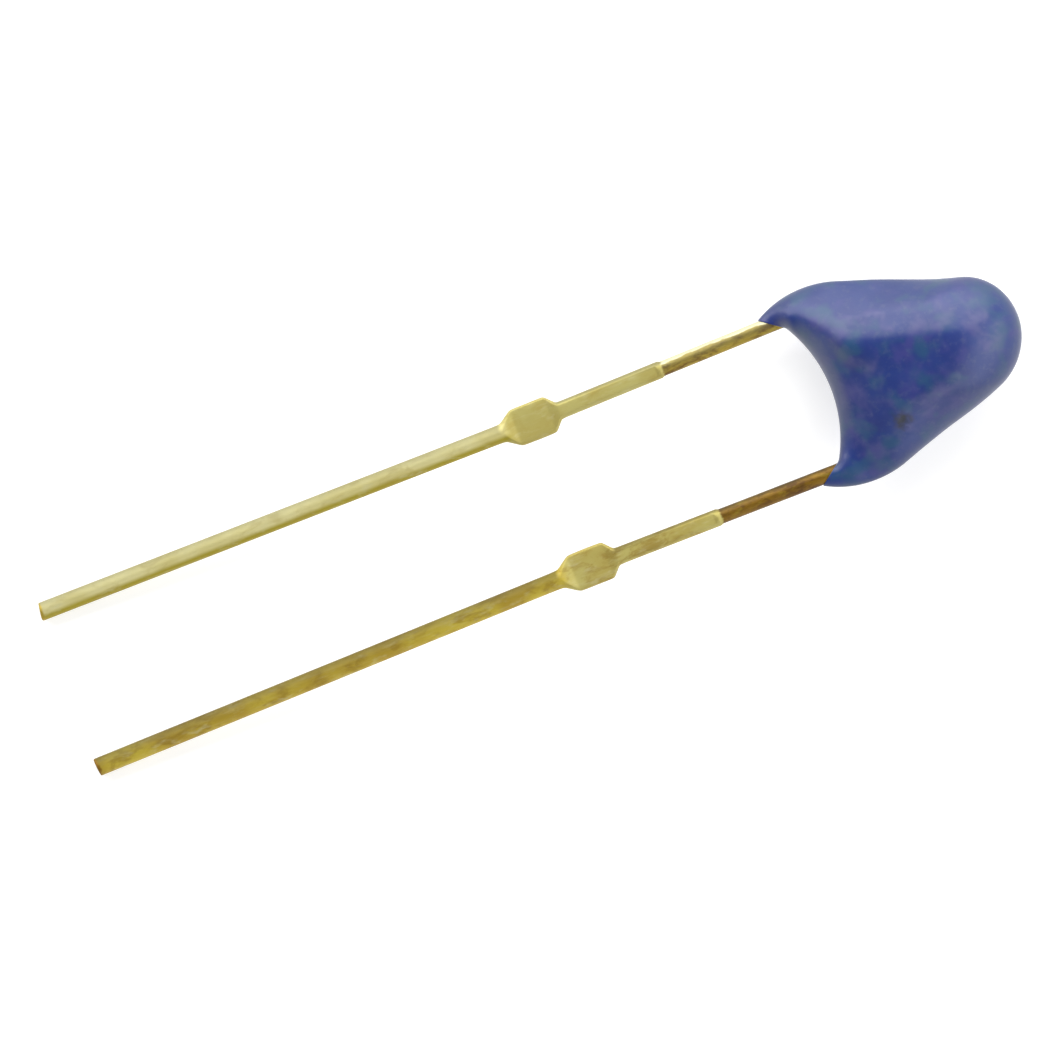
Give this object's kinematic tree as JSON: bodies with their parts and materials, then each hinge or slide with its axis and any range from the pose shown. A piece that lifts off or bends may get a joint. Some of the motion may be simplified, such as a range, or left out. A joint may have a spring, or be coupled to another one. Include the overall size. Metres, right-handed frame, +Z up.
{
  "type": "ntc thermistor",
  "caption": "Disc thermistor in a drop-shaped dipped coat, with a pair of long round leads that carry flat coined stops; it senses temperature or limits inrush current.",
  "frame": {"origin": "middle of the bounding box, on the surface that the part lies on", "axes": "+X along the leads from their tips to the nose of the coat, +Y across the leads towards the front lead, +Z up, out of the coat's front face"},
  "size_m": [0.0332, 0.0066, 0.0031],
  "materials": {
    "blue_coat": "satin",
    "oxide_ceramic": "matte",
    "fired_silver": "matte",
    "solder": "satin",
    "tinned_wire": "satin"
  },
  "bodies": {
    "root": {"coating": "blue_coat", "ceramic_disc": "oxide_ceramic", "electrode_front": "fired_silver", "electrode_back": "fired_silver", "solder_front": "solder", "solder_back": "solder", "lead_front": "tinned_wire", "lead_back": "tinned_wire"}
  },
  "joints": []
}
